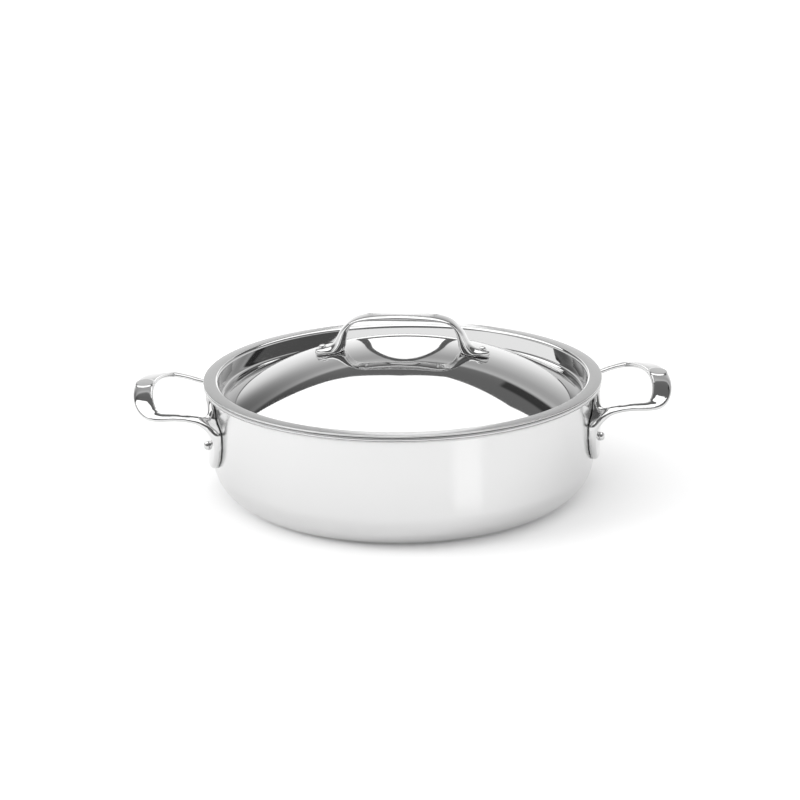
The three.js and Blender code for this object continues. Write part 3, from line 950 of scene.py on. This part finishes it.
def cell_corner(grid, corner):
    """The grid's values at one corner of every cell."""
    i, j, k = corner
    x, y, z = (n - 1 for n in grid.shape)
    return grid[i:i + x, j:j + y, k:k + z]


def net_points(values, active):
    """One point in each active cell, at the mean of where its edges cross the surface."""
    total = np.zeros((active.sum(), 3))
    met = np.zeros(active.sum())
    for a in CELL_CORNERS:
        for b in CELL_CORNERS:
            if sum(b) - sum(a) != 1 or any(q < p for p, q in zip(a, b)):
                continue
            va = cell_corner(values, a)[active]
            vb = cell_corner(values, b)[active]
            hit = (va < 0) != (vb < 0)
            share = (va[hit] / (va[hit] - vb[hit]))[:, None]
            total[hit] += np.array(a) + share * (np.array(b) - np.array(a))
            met[hit] += 1
    return np.argwhere(active) + total / met[:, None]


def net_quads(inside, number):
    """A quad for each grid edge that the surface crosses, through the four cells round it."""
    quads = []
    for axis, (one, two) in enumerate(((1, 2), (2, 0), (0, 1))):
        lower = [slice(1, -1)] * 3
        lower[axis] = slice(0, -1)
        upper = list(lower)
        upper[axis] = slice(1, None)
        before = inside[tuple(lower)]
        after = inside[tuple(upper)]
        for leaving in (True, False):
            at = np.argwhere(before & ~after if leaving else ~before & after)
            at[:, one] += 1
            at[:, two] += 1
            ring = []
            for s, t in ((1, 1), (0, 1), (0, 0), (1, 0)):
                cell = at.copy()
                cell[:, one] -= s
                cell[:, two] -= t
                ring.append(number[tuple(cell.T)])
            quads.append(np.stack(ring if leaving else ring[::-1], 1))
    return np.vstack(quads)


def surface_net(values, origin, step):
    """Points and quads through the cells that the surface crosses."""
    inside = values < 0
    filled = sum(cell_corner(inside, corner).astype(int) for corner in CELL_CORNERS)
    active = (filled > 0) & (filled < len(CELL_CORNERS))
    number = np.full(active.shape, -1)
    number[active] = np.arange(active.sum())
    return origin + step * net_points(values, active), net_quads(inside, number)


print("net tools ready")

# %% Cast handles
NET_STEP = 0.7
NET_LOW = (110, -55, 20)
NET_HIGH = (175, 55, 74)
PULL_ROUNDS = 3
PULL_GAP = 0.02
PULL_LIMIT = 0.5
FLATTEST = 0.05


def onto_surface(field, points):
    """Pulls points along the field's slope until they lie on the surface."""
    for _ in range(PULL_ROUNDS):
        slopes = [
            (field(points + PULL_GAP * axis) - field(points - PULL_GAP * axis)) / (2 * PULL_GAP)
            for axis in np.eye(3)
        ]
        slope = np.stack(slopes, 1)
        size = np.maximum((slope**2).sum(1), FLATTEST)
        points = points - np.clip(field(points) / size, -PULL_LIMIT, PULL_LIMIT)[:, None] * slope
    return points


field_values, grid_origin = field_on_grid(handle_field, NET_LOW, NET_HIGH, NET_STEP)
cast_points, cast_quads = surface_net(field_values, grid_origin, NET_STEP)
cast_points = onto_surface(handle_field, cast_points)
for name, side in (("right_handle", 1), ("left_handle", -1)):
    turned_points = cast_points * np.array([side, side, 1.0]) * MM
    casting = new_piece(name + "_cast", turned_points.tolist(), [], cast_quads.tolist())
    casting.data.polygons.foreach_set("use_smooth", [True] * len(casting.data.polygons))
    casting.data.materials.append(CAST_STEEL)
    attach(casting, "pan")
    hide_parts(name)
    print(casting.name, len(casting.data.polygons), "faces")

# %% [markdown]
# ## The lid's arch
#
# The arch is a strap bent over the dome: a broad crowned grip, two legs that thicken as
# they come down, and a flat tongue at each end under a rivet. Its section changes all the
# way, so it is a loft: one line runs over the arch and one under it, a ring of points
# spans each pair of places, and quads join the rings. Points that would sink into the dome
# are lifted onto it, so the feet follow the dome. Sizes are in millimetres above the rim.

# %% Arch
ARCH_OVER = (
    (0, 38.9), (13, 38.4), (22, 37.5), (28.5, 36), (33, 33.9), (36.6, 30.8), (39.6, 27.2),
    (41.6, 23.4), (43.8, 19.6), (47, 16.9), (51.5, 15.6), (56, 14.4),
)
ARCH_UNDER = (
    (0, 34.5), (12, 34.5), (20.5, 34.4), (26.5, 34), (30.4, 32.4), (33, 29.6), (34.6, 26),
    (35.6, 21.6), (36.4, 16.6), (40, 11), (49, 10.8), (56, 10.2),
)
ARCH_WIDTHS = (15.0, 12.0)
ARCH_SQUARENESS = 0.75
ARCH_COUNT = 180
ARCH_SIDES = 40
LEG_REACH = (26, 41)
FOOT_REACH = (48.0, 56.0)
TIP_ROUND = 0.985
SEAT_GAP = 0.3


def arch_edge(half):
    """Full line over or under the arch, from its right half."""
    right = [(x, 0.0, lid_top / MM + height) for x, height in half]
    return [*[(-x, y, z) for x, y, z in reversed(right[1:])], *right]


def arch_rings():
    """Rings of the arch, before it is turned with the lid."""
    stations = np.hstack([arch_edge(ARCH_OVER), arch_edge(ARCH_UNDER)])
    pairs = smooth_line(stations, ARCH_COUNT)[0]
    over = pairs[:, :3]
    under = pairs[:, 3:]
    middle = (over + under) / 2
    rise = (over - under) / 2
    reach = np.abs(over[:, 0])
    tip = np.clip((reach - FOOT_REACH[0]) / (FOOT_REACH[1] - FOOT_REACH[0]), 0, 1)
    width = between(ARCH_WIDTHS, ease(reach, *LEG_REACH)) * np.sqrt(1 - (TIP_ROUND * tip) ** 2)
    turns = 2 * math.pi * np.arange(ARCH_SIDES) / ARCH_SIDES
    wide = np.sign(np.cos(turns)) * np.abs(np.cos(turns)) ** ARCH_SQUARENESS
    tall = np.sign(np.sin(turns)) * np.abs(np.sin(turns)) ** ARCH_SQUARENESS
    rings = middle[:, None, :] + rise[:, None, :] * tall[None, :, None]
    rings[..., 1] -= width[:, None] / 2 * wide
    seat = dome_height(np.hypot(rings[..., 0], rings[..., 1]) * MM) / MM + SEAT_GAP
    rings[..., 2] = np.maximum(rings[..., 2], seat)
    return rings


def lofted(name, rings):
    """A closed piece from rings of points, with a fan at each end."""
    count, sides = rings.shape[:2]
    points = [*rings.reshape(-1, 3), rings[0].mean(0), rings[-1].mean(0)]
    faces = []
    for i in range(count - 1):
        for j in range(sides):
            a = i * sides + j
            b = i * sides + (j + 1) % sides
            faces.append((a, b, b + sides, a + sides))
    last = (count - 1) * sides
    for j in range(sides):
        faces.append(((j + 1) % sides, j, count * sides))
        faces.append((last + j, last + (j + 1) % sides, count * sides + 1))
    piece = new_piece(name, points, [], faces)
    piece.data.polygons.foreach_set("use_smooth", [True] * len(piece.data.polygons))
    return piece


arch = lofted("lid_arch", arch_rings() * MM)
arch.data.transform(Matrix.Rotation(LID_TURN, 4, "Z"))
arch.data.materials.append(ARCH_STEEL)
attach(arch, "lid")
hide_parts("lid_handle")
print(arch.name, len(arch.data.polygons), "faces")

# %% [markdown]
# ## The table
#
# Bright metal shows only what stands round it, so the studio is part of the look. The pan
# stands on a pale table that reaches far back and glows a little, which keeps the wall's
# mirror of it light and the shadow under the pan soft.

# %% Table
FLOOR_REACH = 9.0
FLOOR_TONES = (0.88, 0.90)
FLOOR_CLOUD = 3.0
FLOOR_ROUGHNESS = 0.9
TABLE_GLOW = 0.05
WHITE = (1.0, 1.0, 1.0, 1.0)


def plain_floor():
    """A large pale floor."""
    sides = ((-1, -1), (1, -1), (1, 1), (-1, 1))
    corners = [(x * FLOOR_REACH, y * FLOOR_REACH, 0) for x, y in sides]
    floor = new_piece("floor", corners, [], [(0, 1, 2, 3)])
    material = bpy.data.materials.new("pale_floor")
    material.use_nodes = True
    tree = material.node_tree
    shader = tree.nodes["Principled BSDF"]
    shader.inputs["Roughness"].default_value = FLOOR_ROUGHNESS
    shader.inputs["Specular IOR Level"].default_value = 0.0
    shader.inputs["Emission Color"].default_value = WHITE
    shader.inputs["Emission Strength"].default_value = TABLE_GLOW
    shade = place(tree, "ShaderNodeTexNoise", {
        "Vector": place(tree, "ShaderNodeTexCoord").outputs["Object"], "Scale": FLOOR_CLOUD,
    })
    tone = place(tree, "ShaderNodeMix", {"Factor": shade.outputs[0]}, data_type="RGBA")
    for label, grey in zip(("A", "B"), FLOOR_TONES):
        feed(tree, tone.inputs[label], (grey, grey, grey, 1.0))
    feed(tree, shader.inputs["Base Color"], tone.outputs["Result"])
    floor.data.materials.append(material)
    return floor


print("stage:", plain_floor().name)

# %% [markdown]
# ## What the metal mirrors
#
# A large soft panel hangs above the pan, and its far edge is cut so that the dome mirrors
# it as a white field with a grey band round it. A white card with a dark border stands
# behind the pan and becomes the bright lens under the arch. Neither is seen by the camera,
# and neither lights the table, so they can be shaped for the metal alone.

# %% Panel
PANEL_HEIGHT = 1.27
PANEL_OUTLINE = (
    (-1.75, 1.84), (-1.14, 1.66), (-0.80, 1.58), (-0.46, 1.53), (-0.31, 1.48), (-0.14, 1.375),
    (0.02, 1.30), (0.33, 1.34), (0.75, 1.03), (1.05, 1.03), (0.66, 0.00), (0.62, -0.62),
    (-1.75, -0.62),
)
PANEL_RADIANCE = 1.9


def glowing(name, radiance):
    """A surface of an even brightness."""
    material = bpy.data.materials.new(name)
    material.use_nodes = True
    tree = material.node_tree
    tree.nodes.clear()
    glow = place(tree, "ShaderNodeEmission")
    glow.inputs["Strength"].default_value = radiance
    feed(tree, place(tree, "ShaderNodeOutputMaterial").inputs["Surface"], glow.outputs[0])
    return material


def mirrored_only(name, corners, finish):
    """A flat piece of the studio that only the metal sees."""
    piece = new_piece(name, corners, [], [tuple(range(len(corners)))])
    piece.data.materials.append(finish)
    piece.visible_camera = False
    piece.visible_diffuse = False
    piece.visible_shadow = False
    return piece


panel_corners = [(x, y, PANEL_HEIGHT) for x, y in PANEL_OUTLINE]
panel = mirrored_only("overhead_panel", panel_corners, glowing("panel_glow", PANEL_RADIANCE))
print("stage:", panel.name)

# %% Card behind the pan
CARD_PLACE = (0.058, 1.5)
CARD_HALVES = (0.125, 0.42)
CARD_MIDDLE = 0.48
CARD_FOOT = (0.108, 0.1)
CARD_STEPS = 33
CARD_RADIANCE = 1.6
NO_BORDER = (0.0, 0.0, 0.0)
CARD_BORDER = (0.023, 0.085, 0.095)
BORDER_BACK = 0.005
BORDER_RADIANCE = 0.13


def standing_card(name, back, border, radiance):
    """An upright card with a round head, larger by a border at its sides, head and foot."""
    wide = CARD_HALVES[0] + border[0]
    tall = CARD_HALVES[1] + border[1]
    foot = CARD_FOOT[0] + border[0]
    ground = CARD_FOOT[1] - border[2] - CARD_MIDDLE
    turns = np.linspace(0, math.pi, CARD_STEPS)
    head_line = [(wide * math.cos(t), tall * math.sin(t)) for t in turns]
    outline = [(foot, ground), *head_line, (-foot, ground)]
    x, y = CARD_PLACE
    corners = [(x + u, y + back, CARD_MIDDLE + v) for u, v in outline]
    return mirrored_only(name, corners, glowing(name + "_face", radiance))


white_card = standing_card("white_card", 0.0, NO_BORDER, CARD_RADIANCE)
card_border = standing_card("card_border", BORDER_BACK, CARD_BORDER, BORDER_RADIANCE)
print("stage:", white_card.name, card_border.name)

# %% [markdown]
# ## Lights for the table and the wall
#
# A panel on the left lights only the table, so the pan's soft shadow falls to the right. A
# brighter strip of table in front, on the right, is seen only by the metal: the wall
# mirrors it as an upright streak.

# %% Side light and strip
SIDE_PLACE = -1.6
SIDE_REACH = (-0.9, 0.2)
SIDE_HEIGHTS = (0.5, 1.5)
SIDE_RADIANCE = 6.5
STRIP_OUTLINE = ((0.0535, -0.175), (0.177, -0.413), (0.272, -0.352), (0.0835, -0.158))
STRIP_HEIGHT = 0.001
STRIP_RADIANCE = 1.42


def side_light():
    """A panel on the left that lights the table and is not mirrored."""
    near, far = SIDE_REACH
    low, high = SIDE_HEIGHTS
    outline = ((near, low), (near, high), (far, high), (far, low))
    light = new_piece("side_light", [(SIDE_PLACE, y, z) for y, z in outline], [], [(0, 1, 2, 3)])
    light.data.materials.append(glowing("side_glow", SIDE_RADIANCE))
    light.visible_camera = False
    light.visible_glossy = False
    light.visible_shadow = False
    return light


strip_corners = [(x, y, STRIP_HEIGHT) for x, y in STRIP_OUTLINE]
strip = mirrored_only("light_strip", strip_corners, glowing("strip_glow", STRIP_RADIANCE))
print("stage:", side_light().name, strip.name)

# %% [markdown]
# ## The backdrop
#
# The world is a grey ramp by height: light at the table's edge, darker above, with a dark
# step below the panel that draws the grey band round the dome. A dark corner low on the
# left and a dark flag high on the right give the metal its deep tones, and the side of the
# camera is dim. The table gets an even light instead, and the camera sees plain white.

# %% Backdrop
BACKDROP = (
    (0.0, 1.17), (0.10, 1.09), (0.18, 0.98), (0.25, 0.81), (0.30, 0.70), (0.35, 0.60),
    (0.40, 0.50), (0.44, 0.50), (0.485, 0.66), (0.505, 0.21), (0.56, 0.18), (1.0, 0.14),
)
CORNER_ACROSS = (-0.46, -0.12)
CORNER_UP = (0.37, 0.2)
CORNER_DEPTH = 0.65
FLAG_ACROSS = (0.335, 0.318)
FLAG_FOOT = (0.508, 0.498)
FLAG_HEAD = (0.56, 0.585)
FLAG_DEPTH = 0.72
DIM_REACH = (-0.97, -0.72)
DIM_SIDE = 0.12
AMBIENT = 1.24
CAMERA_WHITE = 1.05


def darkened(tree, tone, depth, *masks):
    """A tone lowered by a depth where all the masks meet."""
    share = depth
    for mask in masks:
        share = reckon(tree, "MULTIPLY", mask, share)
    return reckon(tree, "MULTIPLY", tone, reckon(tree, "SUBTRACT", 1.0, share))


def swapped(tree, value, other, share):
    """A value that gives way to another by a share from 0 to 1."""
    return reckon(tree, "MULTIPLY_ADD", reckon(tree, "SUBTRACT", other, value), share, value)


def studio_world():
    """Backdrop that the metal mirrors, even light for the floor, plain white to the camera."""
    world = bpy.data.worlds.new("studio")
    bpy.context.scene.world = world
    world.use_nodes = True
    tree = world.node_tree
    tree.nodes.clear()
    split = place(tree, "ShaderNodeSeparateXYZ", {
        0: place(tree, "ShaderNodeTexCoord").outputs["Generated"],
    })
    x, y, z = split.outputs
    ramp = place(tree, "ShaderNodeValToRGB", {0: z})
    while len(ramp.color_ramp.elements) < len(BACKDROP):
        ramp.color_ramp.elements.new(1.0)
    for element, (height, tone) in zip(ramp.color_ramp.elements, BACKDROP):
        element.position = height
        element.color = (tone, tone, tone, 1.0)
    corner = [fade(tree, x, *CORNER_ACROSS), fade(tree, z, *CORNER_UP)]
    flag = [
        fade(tree, x, *FLAG_ACROSS),
        fade(tree, z, *FLAG_FOOT),
        fade(tree, z, *FLAG_HEAD),
    ]
    lit = darkened(tree, ramp.outputs[0], CORNER_DEPTH, *corner)
    lit = darkened(tree, lit, FLAG_DEPTH, *flag)
    backdrop = swapped(tree, lit, DIM_SIDE, fade(tree, y, *DIM_REACH))
    path = place(tree, "ShaderNodeLightPath")
    even = swapped(tree, backdrop, AMBIENT, path.outputs["Is Diffuse Ray"])
    seen = swapped(tree, even, CAMERA_WHITE, path.outputs["Is Camera Ray"])
    around = place(tree, "ShaderNodeBackground", {"Color": WHITE, "Strength": seen})
    feed(tree, place(tree, "ShaderNodeOutputWorld").inputs["Surface"], around.outputs[0])
    return world


print("world:", studio_world().name)
bpy.context.scene.view_settings.view_transform = "Standard"
